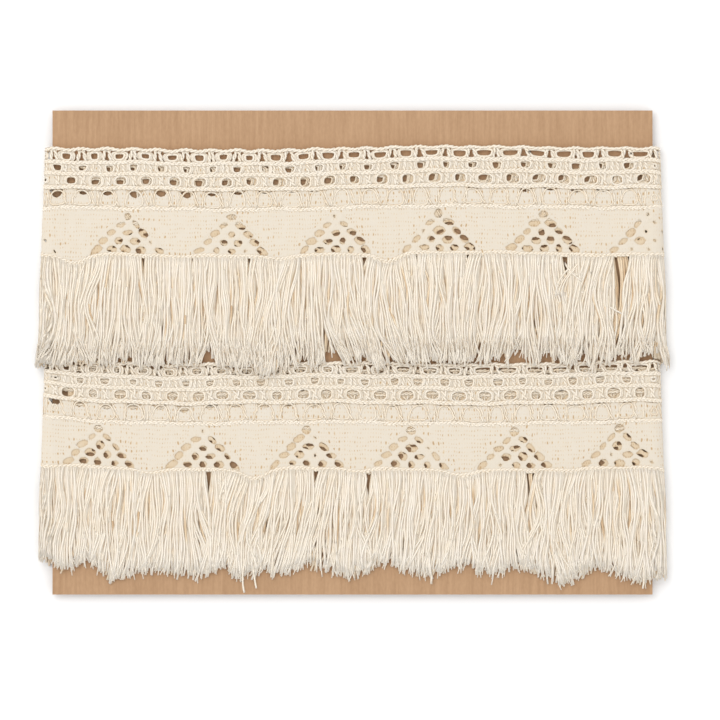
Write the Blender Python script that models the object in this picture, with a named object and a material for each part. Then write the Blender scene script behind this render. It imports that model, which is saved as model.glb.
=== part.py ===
# A macrame fringe trim wound twice round a kraft card, lying on its back.
#
# The trim is one long lace strip. It starts behind the card, comes round the left edge, crosses
# the front as the upper row, goes round the right edge, runs down behind the card on a slant,
# crosses the front again as the lower row and ends behind the card. Its lower edge carries the
# fringe on a narrow strip of its own.
#
# Every point of the trim is given by three strip coordinates: s along the strip, v down from the
# strip's upper edge, and w through its thickness, from the side that faces the card outwards.

import math
import random

import bmesh
import bpy
from mathutils import Vector
from mathutils.geometry import delaunay_2d_cdt

MM = 0.001
# Two points of the trim closer than this, in mm, would become one
MERGE_DISTANCE = 0.00001
SEED = 7

# Colours of the kraft card, of the heading's yarn and of the cut yarn
KRAFT = (0.53, 0.33, 0.18)
COTTON = (0.82, 0.74, 0.62)
CUT_COTTON = (0.80, 0.73, 0.62)

# Card
CARD_WIDTH = 300 * MM
CARD_HEIGHT = 242 * MM
CARD_THICKNESS = 2.0 * MM

# Trim, across
HEADING_HEIGHT = 52.2 * MM
ROOT_GAP = 0.5 * MM
ROOT_HEIGHT = 3.0 * MM
FRINGE_LENGTH = 48.0 * MM
TRIM_THICKNESS = 2.2 * MM
CARD_GAP = 0.4 * MM

# Trim, along: one repeat of the pattern, and the stretches that the strip runs through
REPEAT = 52.0 * MM
FIRST_APEX = 29.25 * MM
TAIL_LENGTH = 30.0 * MM
TURN_LENGTH = 14.0 * MM
SLANT_LENGTH = 310.0 * MM

# How far the trim stands off the card where it goes round an edge
EDGE_CLEARANCE = 2.0 * MM
EDGE_BULGE = 4.0 * MM
EDGE_LIFT = 1.2 * MM
LIFT_START = 122 * MM
TURN_STEPS = 6

# Rows on the card
UPPER_ROW_Y = 102.75 * MM
ROW_PITCH = 108.0 * MM
ROW_WAVE = 0.7 * MM
ROW_WAVE_LENGTH = 190 * MM

# Slope of the strip where it passes from the upper row to the lower one
SLOPE_STEPS = [
    # distance from the right edge behind the card, in mm; share of the full slope there
    (0, 0.0),
    (45, 0.0),
    (105, 1.0),
    (240, 1.0),
    (310, 0.16),
    (324, 0.16),
    (424, 0.0),
]

# Scalloped upper edge: raised over each small opening between two large ones
SCALLOP_PITCH = REPEAT / 4
SCALLOP_RISE = 0.9 * MM
BOTTOM_STEP = REPEAT / 5

# Openings that are cut through, by row. Sizes in mm, v from the upper edge, shift from an apex.
OPENING_ROWS = [
    # v, shift, width at top, width at middle, width at bottom, height, also behind the card
    (3.9, -3.5, 7.4, 0.0, 5.0, 3.2, False),
    (10.9, 5.0, 6.2, 0.0, 4.4, 4.4, False),
    (18.0, -2.5, 4.4, 7.6, 4.4, 5.4, True),
    (25.6, 4.0, 4.2, 0.0, 6.8, 6.2, False),
]

# Largest openings of the lattice, from the lattice's apex, in mm
APEX_V = 34.0
LATTICE_OPENINGS = [
    # along, down, width, height, also behind the card
    (0.8, 4.2, 4.2, 4.2, False),
    (-4.6, 9.6, 4.6, 4.2, True),
    (6.0, 9.8, 4.6, 4.2, True),
    (-11.0, 13.6, 4.4, 4.0, False),
    (12.2, 13.4, 4.4, 4.0, False),
]
TURN_MARGIN = 1.0 * MM

# Braided ribs that run along the strip between the open rows, raised on the side that shows
RIBS = [
    # v, rise, both in mm
    (7.2, 0.6),
    (14.2, 0.5),
    (21.6, 0.6),
    (31.0, 0.4),
]

# Fringe
LOCK_PITCH = 5.2 * MM
TURN_LOCKS = 4
LOCK_LENGTH_SPREAD = 3.0 * MM
ROW_CLEARANCE = 0.8 * MM
LOCK_RINGS = [
    # share of the lock's length, share of the pitch, share of the thickness
    (0.14, 0.88, 1.0),
    (0.60, 0.84, 0.9),
    (1.0, 0.62, 0.5),
]
THINNEST_LOCK = 0.88
BUNCH_WIDTH = 5.0 * MM
BUNCH_SWELL = 0.6
FRINGE_LEAN = [
    # distance from the card's centre in mm, lean of the tips in mm on the upper row, on the lower
    (-150, -2.0, -2.0),
    (-115, -6.0, 0.0),
    (-80, -3.0, -2.0),
    (-45, 3.0, -8.0),
    (0, 4.0, -7.0),
    (45, 2.0, -5.0),
    (90, -3.0, 3.0),
    (150, 1.0, 1.0),
]
SLANT_LEAN = -5.0 * MM
# The lean fades out over this distance from a card's edge, and grows with this power downwards
LEAN_FADE = 40 * MM
LEAN_POWER = 1.5

BACK_Z = TRIM_THICKNESS
CARD_Z = BACK_Z + CARD_GAP
FRONT_Z = CARD_Z + CARD_THICKNESS + CARD_GAP
HALF_CARD = CARD_WIDTH / 2
FRINGE_TOP = HEADING_HEIGHT + ROOT_GAP
FRINGE_ROOT = FRINGE_TOP + ROOT_HEIGHT
TRIM_HEIGHT = FRINGE_ROOT + FRINGE_LENGTH

# The stretches of the strip in order: name, kind, length, side of the card
STRETCHES = [
    ("start_tail", "behind", TAIL_LENGTH, -1),
    ("left_turn_up", "turn", TURN_LENGTH, -1),
    ("upper_row", "front", CARD_WIDTH, 1),
    ("right_turn_up", "turn", TURN_LENGTH, 1),
    ("slant", "behind", SLANT_LENGTH, 1),
    ("left_turn_low", "turn", TURN_LENGTH, -1),
    ("lower_row", "front", CARD_WIDTH, 1),
    ("right_turn_low", "turn", TURN_LENGTH, 1),
    ("end_tail", "behind", TAIL_LENGTH, 1),
]


def stretch_starts():
    """Distance along the strip at which each stretch begins, and the strip's whole length."""
    starts = {}
    distance = 0.0
    for name, kind, length, side in STRETCHES:
        starts[name] = distance
        distance += length
    return starts, distance


STARTS, STRIP_LENGTH = stretch_starts()


def find_stretch(s):
    """The stretch that holds the distance s, and the share of it that is covered there."""
    for name, kind, length, side in STRETCHES:
        covered = (s - STARTS[name]) / length
        if covered <= 1.0:
            break
    return name, kind, side, covered


def blend(table, x, column):
    """Value of one column of a table at x, straight between its rows."""
    if x <= table[0][0]:
        return table[0][column]
    for low, high in zip(table, table[1:]):
        if x <= high[0]:
            share = (x - low[0]) / (high[0] - low[0])
            return low[column] + share * (high[column] - low[column])
    return table[-1][column]


def slope_area(distance):
    """Area under the slope table, in mm, from its start up to a distance in mm."""
    area = 0.0
    for low, high in zip(SLOPE_STEPS, SLOPE_STEPS[1:]):
        if distance <= low[0]:
            break
        end = min(distance, high[0])
        slope = blend(SLOPE_STEPS, end, 1)
        area += (low[1] + slope) / 2 * (end - low[0])
    return area


def row_drop(s):
    """How far the strip has moved down from the upper row at s."""
    distance = (s - STARTS["slant"]) / MM
    return ROW_PITCH * slope_area(distance) / slope_area(SLOPE_STEPS[-1][0])


def upper_edge_y(s):
    """Height on the card of the strip's upper edge at s."""
    wave = ROW_WAVE * math.sin(math.tau * s / ROW_WAVE_LENGTH)
    return UPPER_ROW_Y + wave - row_drop(s)


def place(s, v, w):
    """World point of a strip point.

    On the card's faces the strip lies flat, a little raised in front beside the edges. Round an
    edge it follows half an ellipse, which reaches further out the further down the strip it is.
    """
    name, kind, side, covered = find_stretch(s)
    y = upper_edge_y(s) - v
    if kind == "front":
        x = HALF_CARD * (2 * covered - 1)
        share = max(0.0, (abs(x) - LIFT_START) / (HALF_CARD - LIFT_START))
        z = FRONT_Z + EDGE_LIFT * share * share + w
    elif kind == "behind":
        reach = SLANT_LENGTH if name == "slant" else CARD_WIDTH
        start = HALF_CARD if side > 0 else TAIL_LENGTH - HALF_CARD
        x = start - (s - STARTS[name]) * CARD_WIDTH / reach
        z = BACK_Z - w
    else:
        angle = math.pi * covered
        stand_off = EDGE_CLEARANCE + EDGE_BULGE * v / TRIM_HEIGHT + w
        x = side * (HALF_CARD + stand_off * math.sin(angle))
        middle = (FRONT_Z + EDGE_LIFT + BACK_Z) / 2
        half = (FRONT_Z + EDGE_LIFT - BACK_Z) / 2 + w
        z = middle + side * half * math.cos(angle)
    return Vector((x, y, z))


def turn_spans():
    """Start and end of each turn round an edge of the card."""
    spans = []
    for name, kind, length, side in STRETCHES:
        if kind == "turn":
            spans.append((STARTS[name], STARTS[name] + length))
    return spans


def fits(s, half_width):
    """Whether an opening at s stays clear of the turns and of the strip's cut ends."""
    margin = half_width + TURN_MARGIN
    if s < margin or s > STRIP_LENGTH - margin:
        return False
    for low, high in turn_spans():
        if low - margin < s < high + margin:
            return False
    return True


def opening_outline(s, v, top, middle, bottom, height):
    """Corners of one opening: four, or six where it has a width at its middle."""
    half = height / 2
    corners = [(s - top / 2, v - half), (s + top / 2, v - half)]
    if middle > 0:
        corners.append((s + middle / 2, v))
    corners.append((s + bottom / 2, v + half))
    corners.append((s - bottom / 2, v + half))
    if middle > 0:
        corners.append((s - middle / 2, v))
    return corners


def lozenge(s, v, width, height):
    """Corners of one lattice opening."""
    return [(s, v - height / 2), (s + width / 2, v), (s, v + height / 2), (s - width / 2, v)]


def openings():
    """Outlines of all the openings, in strip coordinates."""
    outlines = []
    repeats = math.ceil(STRIP_LENGTH / REPEAT)
    for index in range(-1, repeats + 1):
        apex = FIRST_APEX + index * REPEAT
        for v, shift, top, middle, bottom, height, behind in OPENING_ROWS:
            for step in range(4):
                s = apex + shift * MM + step * SCALLOP_PITCH
                widest = max(top, middle, bottom) * MM
                if not fits(s, widest / 2):
                    continue
                if find_stretch(s)[1] == "behind" and not behind:
                    continue
                sizes = [size * MM for size in (v, top, middle, bottom, height)]
                outlines.append(opening_outline(s, *sizes))
        for along, down, width, height, behind in LATTICE_OPENINGS:
            s = apex + along * MM
            if not fits(s, width * MM / 2):
                continue
            if find_stretch(s)[1] == "behind" and not behind:
                continue
            outlines.append(lozenge(s, (APEX_V + down) * MM, width * MM, height * MM))
    return outlines


def turn_stations():
    """Distances of the cross lines that keep each turn round."""
    stations = []
    for low, high in turn_spans():
        stations += [low + (high - low) * i / TURN_STEPS for i in range(TURN_STEPS + 1)]
    return stations


def edge_stations(step, phase):
    """Distances at which a row along the strip has a point: even on the faces, close in turns."""
    turns = turn_spans()
    stations = {0.0, STRIP_LENGTH, *turn_stations()}
    s = phase % step
    while s < STRIP_LENGTH:
        if all(s < low - step / 3 or s > high + step / 3 for low, high in turns):
            if step / 3 < s < STRIP_LENGTH - step / 3:
                stations.add(s)
        s += step
    return sorted(stations)


def front_share(s):
    """One on the card's front, nothing behind it, and in between round an edge."""
    name, kind, side, covered = find_stretch(s)
    if kind == "turn":
        return (1 + side * math.cos(math.pi * covered)) / 2
    return 1.0 if kind == "front" else 0.0


def heading_rows():
    """Rows of points along the heading: its upper edge, its ribs and its lower edge."""
    phase = FIRST_APEX + OPENING_ROWS[0][1] * MM
    top = []
    for s in edge_stations(SCALLOP_PITCH / 2, phase):
        in_step = math.cos(math.tau * (s - phase) / SCALLOP_PITCH)
        top.append((s, SCALLOP_RISE * (1 + in_step) / 2, 0.0))
    rows = [top]
    for v, rise in RIBS:
        stations = edge_stations(SCALLOP_PITCH, phase)[1:-1]
        rows.append([(s, v * MM, rise * MM * front_share(s)) for s in stations])
    rows.append([(s, HEADING_HEIGHT, 0.0) for s in edge_stations(BOTTOM_STEP, FIRST_APEX)])
    return rows


def heading_net():
    """Points of the heading without its openings, its outline, and the lines its faces follow."""
    points = []
    index_at = []
    for row in heading_rows():
        index_at.append({point[0]: len(points) + i for i, point in enumerate(row)})
        points += row
    lines = []
    for rib in index_at[1:-1]:
        chain = list(rib.values())
        lines += list(zip(chain, chain[1:]))
    for s in turn_stations():
        chain = [row[s] for row in index_at]
        lines += list(zip(chain, chain[1:]))
    outline = list(index_at[0].values()) + list(index_at[-1].values())[::-1]
    return points, outline, lines


def loop_edges(indices):
    """Edges round a closed run of points."""
    return list(zip(indices, indices[1:] + indices[:1]))


def add_object(name, vertices, faces, material):
    """Mesh object whose faces all point outwards."""
    mesh = bpy.data.meshes.new(name)
    mesh.from_pydata(vertices, [], faces)
    shape = bmesh.new()
    shape.from_mesh(mesh)
    bmesh.ops.recalc_face_normals(shape, faces=shape.faces)
    shape.to_mesh(mesh)
    shape.free()
    mesh.materials.append(material)
    part = bpy.data.objects.new(name, mesh)
    bpy.context.scene.collection.objects.link(part)
    return part


def add_material(name, colour, roughness):
    """Principled material of one colour."""
    material = bpy.data.materials.new(name)
    material.use_nodes = True
    shader = material.node_tree.nodes["Principled BSDF"]
    shader.inputs["Base Color"].default_value = (*colour, 1.0)
    shader.inputs["Roughness"].default_value = roughness
    shader.inputs["Metallic"].default_value = 0.0
    return material


def make_card():
    """Flat card in the middle of the winding."""
    bpy.ops.mesh.primitive_cube_add(size=1)
    card = bpy.context.object
    card.name = "card"
    card.data.name = "card"
    card.scale = (CARD_WIDTH, CARD_HEIGHT, CARD_THICKNESS)
    card.location = (0, 0, CARD_Z + CARD_THICKNESS / 2)
    card.data.materials.append(add_material("card_kraft", KRAFT, 0.85))
    return card


def make_heading():
    """Lace heading: the strip's outline with its openings, given its thickness and wound."""
    points, outline, lines = heading_net()
    loops = [loop_edges(outline)]
    hole_of_point = [-1] * len(points)
    for number, corners in enumerate(openings()):
        first = len(points)
        points += [(s, v, 0.0) for s, v in corners]
        hole_of_point += [number] * len(corners)
        loops.append(loop_edges(list(range(first, len(points)))))
    edges = [edge for loop in loops for edge in loop] + lines
    # Millimetres keep the triangulation's tolerance small beside the shapes
    flat = [Vector((s / MM, v / MM)) for s, v, rise in points]
    result = delaunay_2d_cdt(flat, edges, [], 1, MERGE_DISTANCE)
    origins = [sources[0] for sources in result[3]]
    triangles = []
    for triangle in result[2]:
        corners = [origins[index] for index in triangle]
        holes = {hole_of_point[index] for index in corners}
        if len(holes) > 1 or holes == {-1}:
            triangles.append(corners)
    # The points of the inner side come first, then those of the outer side in the same order
    count = len(points)
    vertices = [place(s, v, 0.0) for s, v, rise in points]
    vertices += [place(s, v, TRIM_THICKNESS + rise) for s, v, rise in points]
    faces = [tuple(corners) for corners in triangles]
    faces += [tuple(index + count for index in corners[::-1]) for corners in triangles]
    for loop in loops:
        faces += [(b, a, a + count, b + count) for a, b in loop]
    return add_object("heading", vertices, faces, add_material("cotton", COTTON, 0.9))


def lock_columns():
    """Distances at which one lock of the fringe ends and the next begins."""
    columns = [0.0]
    for name, kind, length, side in STRETCHES:
        locks = TURN_LOCKS if kind == "turn" else round(length / LOCK_PITCH)
        columns += [STARTS[name] + length * (i + 1) / locks for i in range(locks)]
    return columns


def lean_at(s):
    """How far along the strip the tips of the fringe lean at s."""
    name, kind, side, covered = find_stretch(s)
    if name == "slant":
        return SLANT_LEAN * math.sin(math.pi * covered)
    if kind == "behind":
        return 0.0
    x = place(s, 0.0, 0.0).x
    column = 1 if s < STARTS["slant"] else 2
    from_edge = max(0.0, HALF_CARD - abs(x))
    fade = math.sin(math.pi / 2 * min(1.0, from_edge / LEAN_FADE))
    return blend(FRINGE_LEAN, x / MM, column) * MM * fade


def room_below(s):
    """Depth v at which the strip's next turn begins under s, where one lies there."""
    name, kind, side, covered = find_stretch(s)
    if name in ("lower_row", "left_turn_low", "right_turn_low", "end_tail"):
        return TRIM_HEIGHT * 2
    if name == "slant":
        along_tail = (s - STARTS["slant"]) * CARD_WIDTH / SLANT_LENGTH
        if along_tail > TAIL_LENGTH + LOCK_PITCH:
            return TRIM_HEIGHT * 2
        below = min(STARTS["end_tail"] + along_tail, STRIP_LENGTH)
    elif name == "upper_row":
        below = STARTS["lower_row"] + (s - STARTS["upper_row"])
    elif name == "right_turn_up":
        below = STARTS["right_turn_low"]
    else:
        tail_x = place(s, 0.0, 0.0).x
        below = STARTS["left_turn_low"] - (tail_x + HALF_CARD) * SLANT_LENGTH / CARD_WIDTH
    return upper_edge_y(s) - upper_edge_y(below)


def bunching(s):
    """How much thicker the fringe is at s: it is gathered halfway between two apexes."""
    middle = FIRST_APEX + REPEAT / 2
    distance = (s - middle + REPEAT / 2) % REPEAT - REPEAT / 2
    return 1 + BUNCH_SWELL * front_share(s) * math.exp(-((distance / BUNCH_WIDTH) ** 2))


def root_strip(columns):
    """Points and faces of the strip that carries the locks, open below where they join it."""
    vertices = []
    faces = []
    for s in columns:
        vertices.append(place(s, FRINGE_TOP, 0.0))
        vertices.append(place(s, FRINGE_TOP, TRIM_THICKNESS))
        vertices.append(place(s, FRINGE_ROOT, TRIM_THICKNESS))
        vertices.append(place(s, FRINGE_ROOT, 0.0))
    for a in range(0, len(vertices) - 4, 4):
        b = a + 4
        faces.append((a, a + 1, b + 1, b))
        faces.append((a + 1, a + 2, b + 2, b + 1))
        faces.append((a + 3, a, b, b + 3))
    last = len(vertices) - 4
    faces.append((0, 1, 2, 3))
    faces.append((last, last + 1, last + 2, last + 3))
    return vertices, faces


def lock_length(s, rng):
    """Length of one lock, which ends above the next turn of the strip where one lies below it."""
    wanted = FRINGE_LENGTH + rng.uniform(-1.0, 1.0) * LOCK_LENGTH_SPREAD
    room = room_below(s) - ROW_CLEARANCE - FRINGE_ROOT
    return min(wanted, room - rng.uniform(0.0, 1.0) * MM)


def lock_rings(low, high, rng):
    """Four-cornered rings down one lock, which is rooted between two distances."""
    middle = (low + high) / 2
    kind = find_stretch(middle)[1]
    length = lock_length(middle, rng)
    rings = []
    for down, width, thickness in LOCK_RINGS:
        leaning = down ** LEAN_POWER
        left = low + lean_at(low) * leaning
        right = high + lean_at(high) * leaning
        centre = (left + right) / 2
        half = (right - left) / 2 * width
        v = FRINGE_ROOT + length * down
        thick = TRIM_THICKNESS * thickness * bunching(middle) * rng.uniform(THINNEST_LOCK, 1.0)
        # Behind the card a lock lies on its outer side, and in front on the side by the card
        inner = TRIM_THICKNESS - thick if kind == "behind" else 0.0
        outer = inner + thick
        corners = [(centre - half, inner), (centre - half, outer)]
        corners += [(centre + half, outer), (centre + half, inner)]
        rings.append([place(s, v, w) for s, w in corners])
    return rings


def make_fringe():
    """Fringe: a narrow root strip, and one tapering lock below each of its steps."""
    rng = random.Random(SEED)
    columns = lock_columns()
    vertices, faces = root_strip(columns)
    for i in range(len(columns) - 1):
        ring = [4 * i + 3, 4 * i + 2, 4 * i + 6, 4 * i + 7]
        for corners in lock_rings(columns[i], columns[i + 1], rng):
            next_ring = list(range(len(vertices), len(vertices) + 4))
            vertices += corners
            for a, b in ((0, 1), (1, 2), (2, 3), (3, 0)):
                faces.append((ring[a], ring[b], next_ring[b], next_ring[a]))
            ring = next_ring
        faces.append(tuple(ring))
    return add_object("fringe", vertices, faces, add_material("cotton_cut", CUT_COTTON, 0.95))


for item in list(bpy.data.objects):
    bpy.data.objects.remove(item, do_unlink=True)
make_card()
make_heading()
make_fringe()
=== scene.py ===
from collections import namedtuple

import bpy
import numpy as np
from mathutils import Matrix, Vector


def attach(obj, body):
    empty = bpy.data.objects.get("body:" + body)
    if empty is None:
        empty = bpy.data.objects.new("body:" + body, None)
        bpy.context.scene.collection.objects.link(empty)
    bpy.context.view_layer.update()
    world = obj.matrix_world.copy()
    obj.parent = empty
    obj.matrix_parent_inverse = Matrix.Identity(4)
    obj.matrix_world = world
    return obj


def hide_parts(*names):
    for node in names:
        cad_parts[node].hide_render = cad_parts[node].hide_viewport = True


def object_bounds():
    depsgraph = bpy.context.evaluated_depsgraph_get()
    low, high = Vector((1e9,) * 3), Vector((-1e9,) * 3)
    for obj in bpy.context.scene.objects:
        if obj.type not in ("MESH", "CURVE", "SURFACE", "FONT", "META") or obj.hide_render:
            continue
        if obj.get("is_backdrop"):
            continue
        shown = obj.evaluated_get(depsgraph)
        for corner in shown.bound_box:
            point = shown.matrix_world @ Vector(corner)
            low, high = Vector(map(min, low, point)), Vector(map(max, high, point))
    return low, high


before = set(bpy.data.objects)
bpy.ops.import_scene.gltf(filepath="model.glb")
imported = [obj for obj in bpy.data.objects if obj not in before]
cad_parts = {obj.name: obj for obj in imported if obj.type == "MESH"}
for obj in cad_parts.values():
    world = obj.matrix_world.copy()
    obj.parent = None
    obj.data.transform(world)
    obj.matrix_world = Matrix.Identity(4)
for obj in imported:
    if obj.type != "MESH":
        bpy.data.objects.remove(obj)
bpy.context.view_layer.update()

# The card: a square-cut sheet of uncoated kraft board that the trim is wound round. Its solid is
# right as it is, so only its finish is made here: brown pulp with faint upright fibre streaks.
KRAFT_TONES = [
    # place on the ramp, colour
    (0.42, (0.400, 0.237, 0.127)),
    (0.79, (0.490, 0.304, 0.172)),
]
KRAFT_MARKS = [
    # scale, detail and stretch of a noise, its share of the tone: streaks, blotches, specks
    (620.0, 4.0, (1.0, 0.06, 1.0), 0.75),
    (45.0, 3.0, (1.0, 1.0, 1.0), 0.25),
    (1100.0, 2.0, (1.0, 0.35, 1.0), 0.40),
]
KRAFT_OFFSET = -0.10
KRAFT_RELIEF = 0.0002


def add_node(tree, kind, settings=None, **inputs):
    """One shader node. An input is a plain value, or the output that is linked to it.

    An input is called by its name, or by its number after an underscore.
    """
    made = tree.nodes.new("ShaderNode" + kind)
    for key, value in (settings or {}).items():
        setattr(made, key, value)
    for key, value in inputs.items():
        socket = made.inputs[int(key[1:])] if key[0] == "_" else made.inputs[key]
        if isinstance(value, bpy.types.NodeSocket):
            tree.links.new(value, socket)
        else:
            socket.default_value = value
    return made


def new_finish(name, roughness):
    """An empty principled material, and its shader."""
    finish = bpy.data.materials.new(name)
    finish.use_nodes = True
    shader = finish.node_tree.nodes["Principled BSDF"]
    shader.inputs["Roughness"].default_value = roughness
    return finish, shader


def noise(tree, vector, scale, detail=3.0, stretch=(1.0, 1.0, 1.0)):
    """Noise on a stretched vector, as a value about one half."""
    stretched = add_node(tree, "Mapping", Vector=vector, Scale=stretch).outputs["Vector"]
    return add_node(tree, "TexNoise", Vector=stretched, Scale=scale, Detail=detail).outputs["Fac"]


def maths(tree, operation, *values, clamp=False):
    """The outcome of an operation on values, each a number or a node's output."""
    settings = {"operation": operation, "use_clamp": clamp}
    inputs = {f"_{number}": value for number, value in enumerate(values)}
    return add_node(tree, "Math", settings, **inputs).outputs["Value"]


def weighted(tree, value, share, rest):
    """value times share, plus rest."""
    return maths(tree, "MULTIPLY_ADD", value, share, rest)


def coloured(tree, shader, value, tones, light=1.0):
    """Base colour at a value on a ramp of tones, each a place and a colour, times light."""
    ramp = add_node(tree, "ValToRGB", Fac=value)
    stops = ramp.color_ramp.elements
    for number, (position, colour) in enumerate(tones):
        if 0 < number < len(tones) - 1:
            stops.new(position)
        stops[number].position = position
        stops[number].color = (*(np.array(colour) * light), 1.0)
    tree.links.new(ramp.outputs["Color"], shader.inputs["Base Color"])


def bumped(tree, shader, height, depth, strength=1.0):
    """Relief by a height, as deep as depth, in metres, where the height is one."""
    bump = add_node(tree, "Bump", Height=height, Strength=strength, Distance=depth)
    tree.links.new(bump.outputs["Normal"], shader.inputs["Normal"])


def kraft_finish():
    """Brown between two tones: half from upright streaks, the rest from blotches and specks."""
    finish, shader = new_finish("kraft_board", 0.86)
    tree = finish.node_tree
    place = add_node(tree, "TexCoord").outputs["Object"]
    tone = KRAFT_OFFSET
    for scale, detail, stretch, share in KRAFT_MARKS:
        tone = weighted(tree, noise(tree, place, scale, detail, stretch), share, tone)
    coloured(tree, shader, tone, KRAFT_TONES)
    bumped(tree, shader, tone, KRAFT_RELIEF, 0.25)
    return finish


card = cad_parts["card"]
card.material_slots[0].material = kraft_finish()

# The winding: the trim is one lace strip, wound twice round the card. A point of it is given in
# mm by s along the strip, v down from its upper edge and w outwards from the side by the card.
# The sizes are those of the solids.
MM = 0.001
CARD_WIDTH = 300.0
HALF_CARD = CARD_WIDTH / 2
REPEAT = 52.0
FIRST_APEX = 29.25
STRIP_THICKNESS = 2.2
CARD_GAP = 0.4
CARD_THICKNESS = 2.0
BACK_Z = STRIP_THICKNESS
FRONT_Z = BACK_Z + CARD_GAP + CARD_THICKNESS + CARD_GAP
TRIM_HEIGHT = 103.7
EDGE_CLEARANCE = 2.0
EDGE_BULGE = 4.0
EDGE_LIFT = 1.2
LIFT_START = 122.0
UPPER_ROW_Y = 102.75
ROW_PITCH = 108.0
ROW_WAVE = 0.7
ROW_WAVE_LENGTH = 190.0
TAIL_LENGTH = 30.0
TURN_LENGTH = 14.0
SLANT_LENGTH = 310.0
# Slope behind the card: distance from the right edge, share of the full slope there
SLOPE_AT = np.array([0.0, 45.0, 105.0, 240.0, 310.0, 324.0, 424.0])
SLOPE_SHARE = np.array([0.0, 0.0, 1.0, 1.0, 0.16, 0.16, 0.0])
# The strip's stretches in order: whether in front, behind or round an edge, length, side
FRONT, BEHIND, TURN = 0, 1, 2
STRETCHES = np.array([
    (BEHIND, TAIL_LENGTH, -1),
    (TURN, TURN_LENGTH, -1),
    (FRONT, CARD_WIDTH, 1),
    (TURN, TURN_LENGTH, 1),
    (BEHIND, SLANT_LENGTH, 1),
    (TURN, TURN_LENGTH, -1),
    (FRONT, CARD_WIDTH, 1),
    (TURN, TURN_LENGTH, 1),
    (BEHIND, TAIL_LENGTH, 1),
])
STARTS = np.concatenate([[0.0], np.cumsum(STRETCHES[:, 1])])
STRIP_LENGTH = STARTS[-1]
UPPER_START, SLANT_START, LOWER_START = STARTS[2], STARTS[4], STARTS[6]
ONCE_ROUND = LOWER_START - UPPER_START
# Both rows climb a little to the right: distance, and how far up
CLIMB_AT, CLIMB = STARTS[[2, 3, 5, 6, 7]], (-0.3, 1.3, 0.0, 0.2, 1.6)
# The lace is drawn up there too: by the distance from a row's start, and by v
DRAWN_AT, DRAWN_SHARE = (90, 230, 300, 314), (0, 1, 1, 0)
DRAWN_V, DRAWN_UP = (1.2, 4.0, 11.0, 17.0, 26.0, 31.0), (0.0, 1.0, 0.8, 0.4, -0.3, 0.0)
# Waves of its rows along the strip and down it: size, mm along and down to a radian, phase
ALONG_WAVES = ((0.35, 9.1, 7.3, 0.0), (0.30, 4.3, -3.1, 1.7))
DOWN_WAVES = ((0.28, 7.7, -9.9, 0.6), (0.22, 3.4, 5.2, 2.9))


def stretch_at(s):
    """Kind and side of the stretch that holds s, and the share of it that is covered there."""
    index = np.clip(np.searchsorted(STARTS, s, side="right") - 1, 0, len(STRETCHES) - 1)
    kind, length, side = np.moveaxis(STRETCHES[index], -1, 0)
    return kind, side, (s - STARTS[index]) / length, length


def row_drop(s):
    """How far the strip has come down from the upper row: the area under the slope, in shares.

    The area is summed up in steps of half a millimetre.
    """
    grid = np.linspace(SLOPE_AT[0], SLOPE_AT[-1], int(2 * SLOPE_AT[-1]) + 1)
    slope = np.interp(grid, SLOPE_AT, SLOPE_SHARE)
    area = np.concatenate([[0.0], np.cumsum((slope[1:] + slope[:-1]) / 2)])
    return ROW_PITCH * np.interp(s - SLANT_START, grid, area / area[-1])


def edge_y(s):
    """Height on the card of the strip's upper edge: the row, a slow sine, the climb, the drop."""
    wave = ROW_WAVE * np.sin(2 * np.pi * s / ROW_WAVE_LENGTH)
    return UPPER_ROW_Y + wave + np.interp(s, CLIMB_AT, CLIMB) - row_drop(s)


def front_share(s):
    """One in front, nothing behind, and half a cosine wave between them round an edge."""
    kind, side, covered = stretch_at(s)[:3]
    turning = (1 + side * np.cos(np.pi * covered)) / 2
    return np.select([kind == FRONT, kind == BEHIND], [1.0, 0.0], turning)


def wind(points):
    """World points, in mm, of strip points.

    In front x runs from left to right and z is w above the card, raised by a square near the
    edges. Behind x runs back and z is w below. Round an edge x and z follow half an ellipse,
    which stands further off the further down the strip it is.
    """
    s, v, w = np.moveaxis(points, -1, 0)
    kind, side, covered, length = stretch_at(s)
    y = edge_y(s) - v
    x_front = HALF_CARD * (2 * covered - 1)
    lift = np.maximum(0.0, (abs(x_front) - LIFT_START) / (HALF_CARD - LIFT_START))
    z_front = FRONT_Z + EDGE_LIFT * lift ** 2 + w
    start = np.where(side > 0, HALF_CARD, TAIL_LENGTH - HALF_CARD)
    run = np.where(length == SLANT_LENGTH, CARD_WIDTH, length)
    x_back = start - covered * run
    z_back = BACK_Z - w
    angle = np.pi * covered
    stand_off = EDGE_CLEARANCE + EDGE_BULGE * v / TRIM_HEIGHT + w
    x_turn = side * (HALF_CARD + stand_off * np.sin(angle))
    middle = (FRONT_Z + EDGE_LIFT + BACK_Z) / 2
    z_turn = middle + side * (middle - BACK_Z + w) * np.cos(angle)
    x = np.select([kind == FRONT, kind == BEHIND], [x_front, x_back], x_turn)
    z = np.select([kind == FRONT, kind == BEHIND], [z_front, z_back], z_turn)
    return np.stack([x, y, z], axis=-1)


def world_x(s):
    """Place across the card of a distance along the strip."""
    flat = np.stack([s, np.zeros_like(s), np.zeros_like(s)], axis=-1)
    return wind(flat)[..., 0]


def slack(points):
    """Strip points shifted by sums of sines of s and v, so that no row of the lace is straight.

    Near a row's right end they are drawn up as well.
    """
    s, v, w = np.moveaxis(points, -1, 0)
    along, down = (sum(size * np.sin(s / along_step + v / down_step + phase)
                       for size, along_step, down_step, phase in waves)
                   for waves in (ALONG_WAVES, DOWN_WAVES))
    drawn = np.interp((s - UPPER_START) % ONCE_ROUND, DRAWN_AT, DRAWN_SHARE)
    down = down * np.clip(v / 4.0, 0.4, 1.0) - drawn * np.interp(v, DRAWN_V, DRAWN_UP)
    return np.stack([s + along, v + down, w], axis=-1)


def add_object(name, data):
    """A new object of the scene."""
    made = bpy.data.objects.new(name, data)
    bpy.context.scene.collection.objects.link(made)
    return made


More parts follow.
